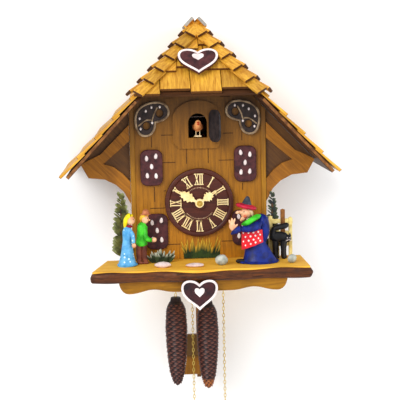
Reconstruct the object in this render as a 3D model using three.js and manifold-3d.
// A chalet cuckoo clock with two pine-cone weights.
// Millimetres, +Z up, +X to the right as seen from the front, the wall at y = 0, the front towards -Y.
// The origin is on the flat back of the upper back board, just below the nail hole.

import * as THREE from 'three';
import { ConvexGeometry } from 'three/addons/geometries/ConvexGeometry.js';
import { mergeVertices } from 'three/addons/utils/BufferGeometryUtils.js';
import Module from 'manifold-3d';

const wasm = await Module();
wasm.setup();

// ---------------------------------------------------------------- driving dimensions
const GAP = 0.3;

const ROOF_SLOPE = THREE.MathUtils.degToRad(46.56);
const RIDGE_Z = 91;
const ROOF_LENGTH = 229;
const ROOF_FRONT_Y = -160;
const ROOF_BACK_Y = -2;
const SHINGLE_DEPTH = 5.7;
const BOARD_TOP = 6;
const BOARD_UNDER = 10;
const COURSE = 29;

const HIP_FRONT_Y = -165;
const HIP_BOTTOM_Z = 14;
const HIP_APEX_Y = -100;
const HIP_COURSE = 32;

const FACADE_HALF = 79;
const FACADE_FRONT_Y = -103;
const FACADE_BACK_Y = -97;
const CASE_OUTER = 68;
const CASE_INNER = 62;
const SHELF_TOP_Z = -182;
const SHELF_THICK = 12;
const BASE_Z = SHELF_TOP_Z + GAP;

const DIAL_Z = -115;
const DIAL_RADIUS = 40;
const WINDOW_HALF = 10.9;
const WINDOW_BOTTOM_Z = -39.6;
const WINDOW_ARCH_Z = -22.3;

const PLATE_FRONT_Y = -91.4;
const PLATE_BACK_Y = -56;
const PLATE_THICK = 1.4;
const GEAR_CENTRES = 15;

const CHAIN_Y = -68;
const CHAIN_RADIUS = 1.65;
const WHEEL_X = 19;
const WHEEL_Z = -140;
const CHAIN_OFFSET = 10;
const WEIGHT_TRAVEL = 80;
const CONE_TOP_Z = -235;
const RIGHT_CONE_LOWER = 5;
const FREE_END_Z = -372;
const HANK_HEIGHT = 64;
const HANK_WIDTH = 42;
const HANK_DEPTH = 10;

const VERGE_Z = -80;
const ESCAPE_Z = -103;
const ROD_Y = -22;

// ---------------------------------------------------------------- materials
const finish = (color, roughness, metalness = 0) =>
  new THREE.MeshStandardMaterial({ color, roughness, metalness });

const honeyWood = finish(0xb8802a, 0.45);
const darkWood = finish(0x4a2c14, 0.5);
const shingleWood = finish(0xe0ac48, 0.5);
const shelfWood = finish(0xd9a04a, 0.4);
const gingerbreadPaint = finish(0x55303a, 0.45);
const dialWood = finish(0x4b2319, 0.45);
const creamPlastic = finish(0xf5e0a8, 0.4);
const brass = finish(0xc8a24a, 0.3, 1);
const steel = finish(0x9a9a9c, 0.35, 1);
const conePaint = finish(0x3e2526, 0.5, 0.2);
const bluePaint = finish(0x1c3a9c, 0.45);
const skyPaint = finish(0x5fb0e0, 0.45);
const greenPaint = finish(0x45b82c, 0.45);
const blackPaint = finish(0x121214, 0.4);
const creamPaint = finish(0xe6d28a, 0.5);
const leafPaint = finish(0x5a6030, 0.6);
const slatePaint = finish(0x31343a, 0.5);
const birdPaint = finish(0xd98040, 0.5);
const bellowsPaper = finish(0xd8cfb8, 0.8);

// ---------------------------------------------------------------- solids
/** Turns a closed geometry into a solid that can be joined and cut. */
function solid(geometry) {
  const bare = geometry.clone();
  bare.deleteAttribute('normal');
  bare.deleteAttribute('uv');
  const merged = mergeVertices(bare, 1e-4);
  const vertProperties = new Float32Array(merged.getAttribute('position').array);
  const triVerts = new Uint32Array(merged.getIndex().array);
  return new wasm.Manifold(new wasm.Mesh({ numProp: 3, vertProperties, triVerts }));
}

/** Turns a solid back into a geometry. */
function geometryOf(body) {
  const mesh = body.getMesh();
  const geometry = new THREE.BufferGeometry();
  geometry.setAttribute('position', new THREE.BufferAttribute(mesh.vertProperties, 3));
  geometry.setIndex(new THREE.BufferAttribute(mesh.triVerts, 1));
  geometry.computeVertexNormals();
  return geometry;
}

const unite = (geometries) => geometryOf(geometries.map(solid).reduce((all, next) => all.add(next)));
const cut = (geometry, tools) =>
  geometryOf(tools.map(solid).reduce((left, tool) => left.subtract(tool), solid(geometry)));

const box = (x0, x1, y0, y1, z0, z1) =>
  new THREE.BoxGeometry(x1 - x0, y1 - y0, z1 - z0).translate((x0 + x1) / 2, (y0 + y1) / 2, (z0 + z1) / 2);

const rodY = (radius, y0, y1, x, z, sides = 12) =>
  new THREE.CylinderGeometry(radius, radius, y1 - y0, sides).translate(x, (y0 + y1) / 2, z);

const rodX = (radius, x0, x1, y, z, sides = 12) =>
  new THREE.CylinderGeometry(radius, radius, x1 - x0, sides).rotateZ(Math.PI / 2)
    .translate((x0 + x1) / 2, y, z);

const ball = (rx, ry, rz, x, y, z) =>
  new THREE.SphereGeometry(1, 12, 8).rotateX(Math.PI / 2).scale(rx, ry, rz).translate(x, y, z);

const toVectors = (points) => points.map(([a, b]) => new THREE.Vector2(a, b));

/** Extrudes an outline that lies in the X-Z plane from y0 to y1. */
function slabXZ(outline, y0, y1, holes = []) {
  const points = outline instanceof THREE.Shape ? outline.getPoints(10) : toVectors(outline);
  if (THREE.ShapeUtils.isClockWise(points)) points.reverse();
  const shape = new THREE.Shape(points);
  shape.holes.push(...holes);
  const options = { depth: y1 - y0, bevelEnabled: false, curveSegments: 10 };
  return new THREE.ExtrudeGeometry(shape, options).rotateX(Math.PI / 2).translate(0, y1, 0);
}

/** Extrudes an outline that lies in the Y-Z plane from x0 to x1. */
function slabYZ(outline, x0, x1) {
  const options = { depth: x1 - x0, bevelEnabled: false };
  const geometry = new THREE.ExtrudeGeometry(new THREE.Shape(toVectors(outline)), options);
  const turn = new THREE.Matrix4().makeBasis(
    new THREE.Vector3(0, 1, 0),
    new THREE.Vector3(0, 0, 1),
    new THREE.Vector3(1, 0, 0),
  );
  return geometry.applyMatrix4(turn).translate(x0, 0, 0);
}

/** Extrudes an outline that lies in the X-Y plane from z0 to z1. */
function slabXY(shape, z0, z1) {
  return new THREE.ExtrudeGeometry(shape, { depth: z1 - z0, bevelEnabled: false, curveSegments: 10 })
    .translate(0, 0, z0);
}

const mirrored = (points, side) => points.map(([a, b]) => [side * a, b]);

const roundHole = (x, z, radius) => new THREE.Path().absarc(x, z, radius, 0, 2 * Math.PI, true);

/** A rectangle with round corners, centred on the origin. */
function roundedRectangle(width, height, radius) {
  const [w, h] = [width / 2, height / 2];
  const shape = new THREE.Shape();
  shape.absarc(w - radius, h - radius, radius, 0, Math.PI / 2);
  shape.absarc(radius - w, h - radius, radius, Math.PI / 2, Math.PI);
  shape.absarc(radius - w, radius - h, radius, Math.PI, 1.5 * Math.PI);
  shape.absarc(w - radius, radius - h, radius, 1.5 * Math.PI, 2 * Math.PI);
  return shape;
}

const clock = new THREE.Group();

/** Adds one named piece to the clock. */
function add(name, geometry, material) {
  const mesh = new THREE.Mesh(geometry, material);
  mesh.name = name;
  clock.add(mesh);
  return mesh;
}

const SIDES = [['left', -1], ['right', 1]];

// ---------------------------------------------------------------- roof
const [COS, SIN] = [Math.cos(ROOF_SLOPE), Math.sin(ROOF_SLOPE)];

/** A point of one roof side: `along` down the slope, `depth` below the shingle plane. */
const roofPoint = (side, along, depth) =>
  [side * (along * COS - depth * SIN), RIDGE_Z - along * SIN - depth * COS];

/** The height of a plane below the shingle plane, at a distance from the centre. */
const roofHeight = (x, depth) => RIDGE_Z - depth / COS - Math.abs(x) * Math.tan(ROOF_SLOPE);

const HIP_RUN = HIP_APEX_Y - HIP_FRONT_Y;
const HIP_RISE = RIDGE_Z - HIP_BOTTOM_Z;
const HIP_LENGTH = Math.hypot(HIP_RUN, HIP_RISE);

/** A point of the hip: `along` up the slope, `depth` below the shingle plane, as [y, z]. */
const hipPoint = (along, depth) => [
  HIP_FRONT_Y + (along * HIP_RUN + depth * HIP_RISE) / HIP_LENGTH,
  HIP_BOTTOM_Z + (along * HIP_RISE - depth * HIP_RUN) / HIP_LENGTH,
];

/** All the space in front of and above a plane at the given depth below the hip. */
const aheadOfHip = (depth) =>
  slabYZ(
    [hipPoint(-300, depth), hipPoint(300, depth), hipPoint(300, -400), hipPoint(-300, -400)], -250, 250);

/** The space under both roof planes at the given depth. */
const underGable = (depth) => {
  const peak = roofHeight(0, depth);
  return slabXZ([[0, peak], [-250, roofHeight(250, depth)], [250, roofHeight(250, depth)]], -250, 50);
};

/** The saw-toothed outline of overlapping courses, as [along, depth] pairs. */
function courses(length, pitch, baseDepth) {
  const outline = [[0, baseDepth]];
  for (let butt = 0; butt < length; butt += pitch) {
    const head = Math.min(butt + pitch, length);
    outline.push([butt, 0]);
    outline.push([head, 2.8 * (head - butt) / pitch]);
  }
  outline.push([length, baseDepth]);
  return outline;
}

function addRoofBoards() {
  for (const [name, side] of SIDES) {
    const eave = ROOF_LENGTH - 5;
    const outline = [
      [side * GAP, roofHeight(GAP, BOARD_TOP)],
      roofPoint(side, eave, BOARD_TOP),
      roofPoint(side, eave, BOARD_UNDER),
      [side * GAP, roofHeight(GAP, BOARD_UNDER)],
    ];
    const board = slabXZ(outline, ROOF_FRONT_Y + 2, ROOF_BACK_Y);
    add(`roof_board_${name}`, cut(board, [aheadOfHip(BOARD_UNDER + GAP)]), darkWood);
  }
  const hipSlab = slabYZ([
    hipPoint(3, BOARD_TOP), hipPoint(HIP_LENGTH, BOARD_TOP),
    hipPoint(HIP_LENGTH, BOARD_UNDER), hipPoint(3, BOARD_UNDER),
  ], -100, 100);
  const hip = solid(hipSlab).intersect(solid(underGable(BOARD_TOP)));
  add('hip_board', geometryOf(hip), darkWood);
}

/** One cap shingle: a thin board on `origin`, thicker at the low end that `along` starts from. */
function capLeaf(origin, along, across, normal, length, width) {
  const corners = [];
  for (const [u, low, high] of [[0, -3.4, 3.2], [length, -3.4, 0.8]]) {
    for (const v of [-0.4, width]) {
      for (const n of [low, high]) {
        corners.push(origin.clone().addScaledVector(along, u).addScaledVector(across, v)
          .addScaledVector(normal, n));
      }
    }
  }
  return new ConvexGeometry(corners);
}

/** Pairs of cap shingles that step up a line where two roof planes meet. */
function capRow(start, end, count, leaves, width) {
  const along = end.clone().sub(start);
  const pitch = along.length() / count;
  along.normalize();
  const caps = [];
  for (let k = 0; k < count; k += 1) {
    const origin = start.clone().addScaledVector(along, k * pitch);
    for (const { across, normal } of leaves) {
      caps.push(capLeaf(origin, along, across, normal, pitch + 6, width));
    }
  }
  return caps;
}

function addShingles() {
  const fields = SIDES.map(([, side]) => {
    const outline = courses(ROOF_LENGTH, COURSE, SHINGLE_DEPTH)
      .map(([up, depth]) => roofPoint(side, ROOF_LENGTH - up, depth))
      .filter(([x]) => side * x > -0.2);
    outline.push([-side * 0.2, roofHeight(0, SHINGLE_DEPTH)]);
    return slabXZ(outline, ROOF_FRONT_Y, ROOF_BACK_Y);
  });
  const main = solid(fields[0]).add(solid(fields[1])).subtract(solid(aheadOfHip(3)));
  const hipField = slabYZ(courses(HIP_LENGTH, HIP_COURSE, SHINGLE_DEPTH)
    .map(([up, depth]) => hipPoint(up, depth)), -100, 100);
  const hip = solid(hipField).intersect(solid(underGable(0.5)));

  const hipNormal = new THREE.Vector3(0, -HIP_RISE, HIP_RUN).divideScalar(HIP_LENGTH);
  const apex = new THREE.Vector3(0, HIP_APEX_Y, RIDGE_Z);
  const caps = SIDES.flatMap(([, side]) => {
    const mainNormal = new THREE.Vector3(side * SIN, 0, COS);
    const line = mainNormal.clone().cross(hipNormal).normalize();
    if (line.z < 0) line.negate();
    const corner = apex.clone().addScaledVector(line, -(RIDGE_Z - HIP_BOTTOM_Z) / line.z);
    const onMain = new THREE.Vector3().crossVectors(mainNormal, line);
    if (onMain.y < 0) onMain.negate();
    const onHip = new THREE.Vector3().crossVectors(hipNormal, line);
    if (side * onHip.x > 0) onHip.negate();
    const leaves = [{ across: onMain, normal: mainNormal }, { across: onHip, normal: hipNormal }];
    return capRow(corner, apex, 6, leaves, 13);
  });
  const ridgeLeaves = SIDES.map(([, side]) => ({
    across: new THREE.Vector3(side * COS, 0, -SIN),
    normal: new THREE.Vector3(side * SIN, 0, COS),
  }));
  const ridgeStart = new THREE.Vector3(0, HIP_APEX_Y - 6, RIDGE_Z);
  const ridgeEnd = new THREE.Vector3(0, ROOF_BACK_Y - 6, RIDGE_Z);
  caps.push(...capRow(ridgeStart, ridgeEnd, 4, ridgeLeaves, 13));
  const all = caps.map(solid).reduce((joined, cap) => joined.add(cap), main.add(hip));
  const trimmed = all.subtract(solid(box(-90, 90, ROOF_BACK_Y, 20, -100, 150)));
  add('shingles', geometryOf(trimmed), shingleWood);
}

// ---------------------------------------------------------------- case
function windowPath(grow = 0) {
  const path = new THREE.Path();
  path.moveTo(-WINDOW_HALF - grow, WINDOW_BOTTOM_Z - grow);
  path.lineTo(WINDOW_HALF + grow, WINDOW_BOTTOM_Z - grow);
  path.absarc(0, WINDOW_ARCH_Z, WINDOW_HALF + grow, 0, Math.PI);
  path.lineTo(-WINDOW_HALF - grow, WINDOW_BOTTOM_Z - grow);
  return path;
}

function addFacade() {
  const topZ = 66;
  const gable = (x) => roofHeight(x, BOARD_UNDER) - 0.6;
  const halfTop = (gable(0) - topZ) / Math.tan(ROOF_SLOPE);
  const outline = [
    [-FACADE_HALF, BASE_Z], [FACADE_HALF, BASE_Z], [FACADE_HALF, gable(FACADE_HALF)],
    [halfTop, topZ], [-halfTop, topZ], [-FACADE_HALF, gable(FACADE_HALF)],
  ];
  const wall = slabXZ(outline, FACADE_FRONT_Y, FACADE_BACK_Y, [windowPath(), roundHole(0, DIAL_Z, 4.5)]);
  const pad = new THREE.Shape();
  pad.moveTo(-22, -52);
  pad.lineTo(22, -52);
  pad.lineTo(28.9, -44);
  pad.lineTo(28.9, -18);
  pad.absellipse(0, -18, 28.9, 21.6, 0, Math.PI);
  pad.lineTo(-28.9, -44);
  pad.lineTo(-22, -52);
  add('facade', unite([wall, slabXZ(pad, FACADE_FRONT_Y - 3, FACADE_FRONT_Y, [windowPath()])]), honeyWood);
}

function addCase() {
  for (const [name, side] of SIDES) {
    const outline = mirrored([
      [CASE_INNER, BASE_Z], [CASE_OUTER, BASE_Z],
      [CASE_OUTER, roofHeight(CASE_OUTER, BOARD_UNDER) - 0.6],
      [CASE_INNER, roofHeight(CASE_INNER, BOARD_UNDER) - 0.6],
    ], side);
    add(`case_side_${name}`, slabXZ(outline, FACADE_BACK_Y + GAP, -10.3), honeyWood);
  }
  const backTop = (x) => roofHeight(x, BOARD_UNDER) - 0.6;
  const board = slabXZ([
    [-CASE_OUTER, -20], [CASE_OUTER, -20], [CASE_OUTER, backTop(CASE_OUTER)],
    [15, backTop(15)], [-15, backTop(15)], [-CASE_OUTER, backTop(CASE_OUTER)],
  ], -10, 0, [roundHole(0, 14, 5)]);
  add('back_board', board, darkWood);
  add('rear_cover', box(-60.5, 60.5, -6, -1, -178, -21), darkWood);
}

function addShelf() {
  const outline = new THREE.Shape();
  outline.moveTo(-66, -9);
  outline.lineTo(-66, -99);
  outline.lineTo(-109, -99);
  outline.lineTo(-124, -166);
  outline.bezierCurveTo(-84, -171, -60, -166, -34, -170);
  outline.bezierCurveTo(-12, -173, 4, -173, 26, -170);
  outline.bezierCurveTo(60, -166, 90, -171, 120, -167);
  outline.lineTo(119, -99);
  outline.lineTo(66, -99);
  outline.lineTo(66, -9);
  const slot = (x0, x1, y0, y1) => box(x0, x1, y0, y1, SHELF_TOP_Z - SHELF_THICK - 5, SHELF_TOP_Z + 5);
  const slots = [slot(-34, -4, -73, -63), slot(4, 34, -73, -63), slot(-16, 16, -27, -17)];
  add('shelf', cut(slabXY(outline, SHELF_TOP_Z - SHELF_THICK, SHELF_TOP_Z), slots), shelfWood);

  const top = SHELF_TOP_Z - SHELF_THICK - GAP;
  const apron = new THREE.Shape();
  apron.moveTo(-95, top);
  apron.lineTo(95, top);
  apron.bezierCurveTo(94, top - 9, 90, top - 14.5, 83, top - 14.5);
  apron.bezierCurveTo(72, top - 14.5, 66, top - 10, 56, top - 10);
  apron.bezierCurveTo(48, top - 10, 42, top - 13.5, 31, top - 13.5);
  apron.lineTo(-31, top - 13.5);
  apron.bezierCurveTo(-42, top - 13.5, -48, top - 10, -56, top - 10);
  apron.bezierCurveTo(-66, top - 10, -72, top - 14.5, -83, top - 14.5);
  apron.bezierCurveTo(-90, top - 14.5, -94, top - 9, -95, top);
  add('apron', slabXZ(apron, -163, -157), honeyWood);
}

/** The curved bracket under each eave: a dark panel with a raised timber frame. */
function addWings() {
  const edge = FACADE_HALF + GAP;
  const eave = (x) => roofHeight(x, BOARD_UNDER) - 0.6;
  for (const [name, side] of SIDES) {
    const lower = [
      [136, eave(136)], [127.5, -83.5], [109, -85.4], [96, -92], [86.7, -101], [edge, -115],
    ];
    const panel = slabXZ(mirrored([[edge, eave(edge)], ...lower], side), -100, FACADE_BACK_Y);
    const brace = slabXZ(mirrored([
      [edge, -23], [113, -56.5], [124, -61.5], ...lower, [edge, -89],
      [88, -79], [98, -71.5], [110, -67.5], [edge, -41.5],
    ], side), -104, -99.5);
    add(`wing_${name}`, unite([panel, brace]), honeyWood);
  }
}

// ---------------------------------------------------------------- trim
/** A heart whose tip points down, centred on its widest line. */
function heartShape(width, height) {
  const [w, h] = [width / 2, height];
  const shape = new THREE.Shape();
  shape.moveTo(0, -0.66 * h);
  shape.bezierCurveTo(-0.35 * w, -0.42 * h, -w, -0.28 * h, -w, 0.08 * h);
  shape.bezierCurveTo(-w, 0.42 * h, -0.3 * w, 0.42 * h, 0, 0.22 * h);
  shape.bezierCurveTo(0.3 * w, 0.42 * h, w, 0.42 * h, w, 0.08 * h);
  shape.bezierCurveTo(w, -0.28 * h, 0.35 * w, -0.42 * h, 0, -0.66 * h);
  return shape;
}

function addHearts() {
  const plate = () => slabXZ(heartShape(45, 34), -2, 2);
  const top = add('heart_top', plate(), gingerbreadPaint);
  const [y, z] = hipPoint(44, -5.6);
  top.position.set(0, y, z);
  top.rotation.x = -Math.atan2(HIP_RUN, HIP_RISE);
  const lower = unite([slabXZ(heartShape(41, 34), -2, 2), box(-9, 9, 1.5, 10.5, -9, 3)]);
  const bottom = add('heart_bottom', lower, gingerbreadPaint);
  bottom.position.set(-5.5, -175, -204);
}

function addGingerbread() {
  const spots = [['upper_left', -54.5, -73], ['upper_right', 54.5, -71], ['lower_left', -50, -148],
    ['lower_right', 51, -146]];
  for (const [name, x, z] of spots) {
    const slab = add(`gingerbread_${name}`, slabXZ(roundedRectangle(26, 42, 8), -4, 0), gingerbreadPaint);
    slab.position.set(x, FACADE_FRONT_Y - GAP, z);
  }
  for (const [name, side] of SIDES) {
    const flip = -side;
    const outline = new THREE.Shape();
    outline.moveTo(flip * -21.5, 0);
    outline.bezierCurveTo(flip * -21.5, 14, flip * -9, 21.5, flip * 6, 21.5);
    outline.bezierCurveTo(flip * 16, 21.5, flip * 21.5, 15, flip * 21.5, 8);
    outline.bezierCurveTo(flip * 21.5, 1, flip * 15, -3, flip * 5, -5);
    outline.bezierCurveTo(flip * 4, -15, flip * 0, -21.5, flip * -9, -21.5);
    outline.bezierCurveTo(flip * -17, -21.5, flip * -21.5, -13, flip * -21.5, 0);
    const holes = [roundHole(flip * -7, -8, 4.2), roundHole(flip * 9, 7, 4.2)];
    const pretzel = add(`pretzel_${name}`, slabXZ(outline, -4, 0, holes), gingerbreadPaint);
    pretzel.position.set(side * 52.3, FACADE_FRONT_Y - GAP, -16.8);
    pretzel.scale.set(0.95, 1, 0.95);
  }
}

// ---------------------------------------------------------------- dial and hands
function addDial() {
  const profile = [
    [3.6, 0], [DIAL_RADIUS, 0], [DIAL_RADIUS, 5], [38.5, 6], [35.5, 6], [34.5, 4.6], [3.6, 4.6], [3.6, 0],
  ];
  const disc = new THREE.LatheGeometry(toVectors(profile), 40).rotateX(Math.PI);
  add('dial', disc, dialWood).position.set(0, FACADE_FRONT_Y - GAP, DIAL_Z);
}

/** A carved leaf-shaped hand that points up, with a round boss at its pivot. */
function handShape(length, width) {
  const shape = new THREE.Shape();
  shape.moveTo(-1.3, 3.6);
  shape.lineTo(-1.3, 0.25 * length);
  shape.bezierCurveTo(-width, 0.32 * length, -width, 0.62 * length, -1.2, 0.74 * length);
  shape.lineTo(-0.5, length);
  shape.lineTo(0.5, length);
  shape.lineTo(1.2, 0.74 * length);
  shape.bezierCurveTo(width, 0.62 * length, width, 0.32 * length, 1.3, 0.25 * length);
  shape.lineTo(1.3, 3.6);
  return shape;
}

function addHands() {
  const hour = unite([slabXZ(handShape(23.6, 5), -1.2, 0), rodY(5, -1.2, 0, 0, 0)]);
  const hourHand = add('hour_hand', cut(hour, [rodY(1.7, -3, 3, 0, 0)]), creamPlastic);
  hourHand.position.set(0, -112.1, DIAL_Z);
  hourHand.rotation.y = THREE.MathUtils.degToRad(55);
  const minute = unite([
    slabXZ(handShape(32, 6), -1.2, 0), rodY(4.6, -1.2, 0, 0, 0), rodY(2.4, -3.4, -1, 0, 0, 6),
  ]);
  const minuteHand = add('minute_hand', minute, creamPlastic);
  minuteHand.position.set(0, -115.1, DIAL_Z);
  minuteHand.rotation.y = THREE.MathUtils.degToRad(300);
}

/** A spur gear blank in the X-Z plane with straight-sided teeth and a free-running backlash. */
function gear(teeth, module, y0, y1, phase = 0, bore = 0) {
  const pitchRadius = teeth * module / 2;
  const step = 2 * Math.PI / teeth;
  const outline = [];
  for (let k = 0; k < teeth; k += 1) {
    const centre = phase + k * step;
    const flank = [[-0.24, -1.15], [-0.11, 0.8], [0.11, 0.8], [0.24, -1.15]];
    for (const [turn, lift] of flank) {
      const radius = pitchRadius + lift * module;
      const angle = centre + turn * step;
      outline.push([radius * Math.cos(angle), radius * Math.sin(angle)]);
    }
  }
  return slabXZ(outline, y0, y1, bore > 0 ? [roundHole(0, 0, bore)] : []);
}

function addMotionWork() {
  const arbor = unite([
    rodY(1.2, -114.8, -63, 0, 0), gear(10, 0.75, -93.2, -91.9), rodY(2.2, -91.95, -86, 0, 0),
  ]);
  add('minute_arbor', arbor, steel).position.set(0, 0, DIAL_Z);
  const hourBlank = unite([gear(40, 0.6, -95.2, -93.8, Math.PI / 40), rodY(2.6, -111.8, -94, 0, 0, 16)]);
  add('hour_wheel', cut(hourBlank, [rodY(1.65, -120, -80, 0, 0)]), brass).position.set(0, 0, DIAL_Z);
  const idler = unite([gear(30, 0.75, -93.2, -91.9, Math.PI / 30), gear(10, 0.6, -95.4, -93)]);
  add('idler_wheel', idler, brass).position.set(GEAR_CENTRES, 0, DIAL_Z);
}

// ---------------------------------------------------------------- cuckoo
function addCuckoo() {
  const doorOutline = roundedRectangle(24, 37, 9);
  const door = add('cuckoo_door', slabXZ(doorOutline, -1, 1).translate(-12.6, 0, 0), slatePaint);
  door.position.set(12.9, -107.6, -25.5);
  door.rotation.z = THREE.MathUtils.degToRad(118);
  const beak = new THREE.ConeGeometry(1.9, 5, 8).rotateX(Math.PI).translate(0, -118, -22.5);
  const bird = unite([
    ball(5.2, 8, 6, 0, -107, -27), ball(3.8, 4, 3.8, 0, -113, -22.5), beak,
    box(-2.8, -1.8, -108, -106.6, -37.6, -30), box(1.8, 2.8, -108, -106.6, -37.6, -30),
    rodX(0.8, -4, 4, -107.3, -37.5, 8), rodY(1, -107.5, -66, 0, -37.5, 8),
  ]);
  add('cuckoo_bird', bird, birdPaint);
}

// ---------------------------------------------------------------- movement
function addPlates() {
  const outline = [
    [-38, -168], [38, -168], [38, -74], [5, -74], [5, -39.2], [-5, -39.2], [-5, -74], [-38, -74],
  ];
  const bores = [
    roundHole(0, DIAL_Z, 3), roundHole(0, ESCAPE_Z, 1.4), roundHole(0, VERGE_Z, 1.6),
    roundHole(-WHEEL_X, WHEEL_Z, 1.9), roundHole(WHEEL_X, WHEEL_Z, 1.9),
  ];
  add('front_plate', slabXZ(outline, PLATE_FRONT_Y, PLATE_FRONT_Y + PLATE_THICK, bores), brass);
  const rear = slabXZ(
    [[-38, -168], [38, -168], [38, -72], [-38, -72]], PLATE_BACK_Y, PLATE_BACK_Y + PLATE_THICK,
    [roundHole(0, VERGE_Z, 1.6)]);
  const pillars = [[-33.5, -163], [33.5, -163], [-33.5, -77], [33.5, -77]]
    .map(([x, z]) => rodY(2.5, PLATE_FRONT_Y + PLATE_THICK + GAP, PLATE_BACK_Y + 0.5, x, z, 10));
  add('back_plate', unite([rear, ...pillars]), brass);
}

/** A toothed ring outline with pointed teeth, used for ratchets and the escape wheel. */
function pointedWheel(teeth, tip, root, lean, y0, y1) {
  const outline = [];
  for (let k = 0; k < teeth; k += 1) {
    const [low, high] = [k, k + lean].map((turn) => 2 * Math.PI * turn / teeth);
    outline.push([root * Math.cos(low), root * Math.sin(low)]);
    outline.push([tip * Math.cos(high), tip * Math.sin(high)]);
  }
  return slabXZ(outline, y0, y1);
}

function addTrain() {
  for (const [name, side] of SIDES) {
    const wheel = unite([
      rodY(7.6, CHAIN_Y - 3, CHAIN_Y + 3, 0, 0, 20), pointedWheel(24, 13, 11.4, 0.15, -63, -61.4),
      rodY(3, CHAIN_Y, -61, 0, 0), rodY(1.6, -91, -57, 0, 0),
    ]);
    add(`chain_wheel_${name}`, wheel, brass).position.set(side * WHEEL_X, 0, WHEEL_Z);
  }
  const escape = unite([pointedWheel(30, 13, 10.6, 0.8, -60.6, -59.4), rodY(1, -91, -57.5, 0, 0)]);
  add('escape_wheel', escape, brass).position.set(0, 0, ESCAPE_Z);
  const anchor = [[-1.5, 2.5], [1.5, 2.5], [11, -7], [10.6, -12], [9.4, -12], [8.8, -7.4], [0, -1.8],
    [-8.8, -7.4], [-9.4, -12], [-10.6, -12], [-11, -7]];
  const verge = unite([
    slabXZ(anchor, -60.7, -59.2), rodY(1.2, -91, ROD_Y + 0.8, 0, 0),
    box(-0.8, 0.8, ROD_Y - 0.8, ROD_Y + 0.8, -42, 0),
    rodX(0.8, -3, 3, ROD_Y, -41.5, 8),
  ]);
  add('verge', verge, steel).position.set(0, 0, VERGE_Z);
}

function addPendulum() {
  add('pendulum_rod', box(-2.5, 2.5, ROD_Y - 1, ROD_Y + 1, -350, -122.8), darkWood);
  const outline = [
    [-20.5, -293], [20.5, -293], [20.5, -320], [15.5, -320.5], [17, -333], [20, -345], [-20, -345],
    [-17, -333], [-15.5, -320.5], [-20.5, -320],
  ];
  add('pendulum_bob', slabXZ(outline, -30, ROD_Y - 1 - GAP), honeyWood);
}

function addStrike() {
  const arm = slabXZ([[-35.2, -160], [-32.8, -160], [-23, -126], [-25.5, -125]], -14.5, -12.5);
  add('gong_hammer', unite([rodY(1.2, -54, -12.5, -34, -160), arm, rodX(3, -28, -21.5, -13, -125)]), steel);
  const turns = 2.75;
  const points = [];
  for (let k = 0; k <= 44; k += 1) {
    const share = k / 44;
    const angle = -Math.PI / 2 - share * turns * 2 * Math.PI;
    const radius = 25 - 16 * share;
    points.push(new THREE.Vector3(6 + radius * Math.cos(angle), -12, -125 + radius * Math.sin(angle)));
  }
  const section = new THREE.Shape().absarc(0, 0, 1.2, 0, 2 * Math.PI);
  const coil = new THREE.ExtrudeGeometry(section, {
    extrudePath: new THREE.CatmullRomCurve3(points), steps: 48, curveSegments: 3, bevelEnabled: false,
  });
  add('gong', unite([coil, box(-1, 13, -16.5, -9, BASE_Z, -149)]), steel);
  for (const [name, side] of SIDES) {
    const [x0, x1] = side < 0 ? [-60, -43.5] : [43.5, 60];
    add(`bellows_pipe_${name}`, box(x0, x1, -58, -36, BASE_Z, -104), honeyWood);
    add(`bellows_top_${name}`, box(x0, x1, -58, -36, -103.7, -95.5), bellowsPaper);
  }
}

// ---------------------------------------------------------------- chains and weights
const chainTube = (x, z0, z1) => {
  const path = new THREE.LineCurve3(new THREE.Vector3(x, CHAIN_Y, z0), new THREE.Vector3(x, CHAIN_Y, z1));
  const section = new THREE.Shape().absarc(0, 0, CHAIN_RADIUS, 0, 2 * Math.PI);
  const settings = { extrudePath: path, steps: 20, curveSegments: 4, bevelEnabled: false };
  return new THREE.ExtrudeGeometry(section, settings);
};

function addChains() {
  const cone = [
    [0, 0], [6.6, -0.6], [7.2, -5.4], [9.6, -8], [11.8, -14], [13.5, -36], [12.8, -57], [11.5, -75],
    [9.4, -92], [6, -105], [2.6, -110.6], [0, -111.5],
  ];
  const [ringRadius, ringWire] = [3.6, 1.1];
  for (const [name, side] of SIDES) {
    const weightX = side * WHEEL_X - CHAIN_OFFSET;
    const freeX = side * WHEEL_X + CHAIN_OFFSET;
    const lathe = new THREE.LatheGeometry(toVectors([...cone].reverse()), 18).rotateX(Math.PI / 2);
    const coneTop = CONE_TOP_Z - (side > 0 ? RIGHT_CONE_LOWER : 0);
    add(`weight_${name}`, lathe, conePaint).position.set(weightX, CHAIN_Y, coneTop);
    const topZ = WHEEL_Z + WEIGHT_TRAVEL;
    add(`weight_chain_${name}`, chainTube(weightX, topZ, coneTop + GAP), brass);
    add(`free_chain_${name}`, chainTube(freeX, WHEEL_Z, FREE_END_Z), brass);
    const hankX = freeX - 1;
    const hankSettings = { depth: HANK_DEPTH, bevelEnabled: false, curveSegments: 4 };
    const hank = new THREE.ExtrudeGeometry(roundedRectangle(HANK_WIDTH, HANK_HEIGHT, 8), hankSettings);
    const turn = new THREE.Matrix4().makeBasis(
      new THREE.Vector3(0, 1, 0), new THREE.Vector3(0, 0, 1), new THREE.Vector3(1, 0, 0));
    add(`chain_hank_${name}`, hank.applyMatrix4(turn), brass)
      .position.set(hankX - HANK_DEPTH / 2, CHAIN_Y, FREE_END_Z - GAP - HANK_HEIGHT / 2);
    const ring = new THREE.TorusGeometry(ringRadius, ringWire, 6, 14).rotateY(Math.PI / 2);
    add(`chain_ring_${name}`, ring, brass)
      .position.set(hankX, CHAIN_Y, FREE_END_Z - HANK_HEIGHT - 2 * GAP - ringRadius - ringWire);
  }
}

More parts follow.
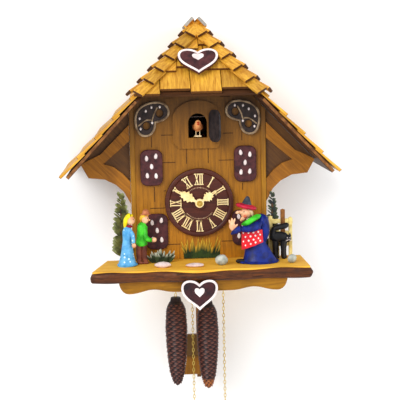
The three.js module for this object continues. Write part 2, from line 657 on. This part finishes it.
// ---------------------------------------------------------------- figures on the shelf
const skirt = (profile, x, y, depthShare = 1) =>
  new THREE.LatheGeometry(toVectors(profile), 14)
    .rotateX(Math.PI / 2)
    .scale(1, depthShare, 1)
    .translate(x, y, BASE_Z);

function addFigures() {
  add('gretel', unite([
    skirt([[0, 0], [10.5, 0], [9, 8], [5, 27], [4.6, 39], [2, 47], [0, 47]], -84.8, -134, 0.8),
    ball(5.2, 5.2, 5.8, -82, -134, -131.5), box(-82, -75.5, -139, -136, -161, -157),
    box(-82, -78.5, -139, -134, -161, -144),
  ]), skyPaint);
  add('hansel', unite([
    box(-74, -63, -129, -122, BASE_Z, -160), box(-74.4, -61.5, -130.5, -121, -161, -134.5),
    ball(5, 5, 6, -64, -126, -130.5), box(-65, -53, -132, -128, -156, -151),
    skirt([[0, 55], [6, 55], [4.2, 59], [3, 62.4], [0, 63]], -63.5, -126),
  ]), greenPaint);
  add('witch', unite([
    skirt([[0, 0], [22, 0], [20, 14], [13, 30], [11, 42], [7, 49], [0, 50]], 64, -137, 0.6),
    ball(11, 9, 12, 72, -137, -146), ball(6, 6, 7, 51.6, -137, -125), box(34, 66, -151, -143, -148, -137),
    box(33, 38, -151, -147, -147, -129),
    skirt([[0, 62], [11, 62.5], [5.5, 66], [2, 76], [0, 76.5]], 51.8, -137),
    box(56, 68, -146, -134, -138, -128),
  ]), bluePaint);
  add('cat', unite([
    box(83, 102, -122, -117, -165, -153), ball(5, 4, 5, 101, -120, -156),
    box(84, 87.5, -122, -117, BASE_Z, -160),
    box(96, 99.5, -122, -117, BASE_Z, -160), box(82.5, 86.5, -121.5, -118, -158, -141),
    box(84, 102, -121.5, -118, -145, -141),
  ]), blackPaint);
  add('fence', unite([
    box(80, 108, -112.4, -110.4, -138, -133), box(80, 108, -112.4, -110.4, -154, -149),
    box(80, 108, -112.4, -110.4, -171, -166), box(80, 84, -113.6, -110, BASE_Z, -128),
    box(94, 98.5, -113.6, -110, BASE_Z, -125), box(104, 108, -113.6, -110, BASE_Z, -129),
  ]), creamPaint);
  for (const [name, x, width, top] of [['left', -91, 26, -100], ['right', 85.5, 13, -102]]) {
    const height = top - BASE_Z;
    const outline = [];
    const teeth = 6;
    for (let k = 0; k <= teeth; k += 1) {
      const share = k / teeth;
      const half = width / 2 * Math.sqrt(1 - share * share * 0.92);
      outline.push([half, share * height]);
      if (k < teeth) outline.push([half * 0.86, (share + 0.1) * height]);
    }
    const left = outline.slice().reverse().map(([a, b]) => [-a, b]);
    add(`tree_${name}`, slabXZ([...outline, ...left], -4, 0), leafPaint).position.set(x, -104.3, BASE_Z);
  }
}

addRoofBoards();
addShingles();
addFacade();
addCase();
addShelf();
addWings();
addHearts();
addGingerbread();
addDial();
addHands();
addMotionWork();
addCuckoo();
addPlates();
addTrain();
addPendulum();
addStrike();
addChains();
addFigures();

export default clock;
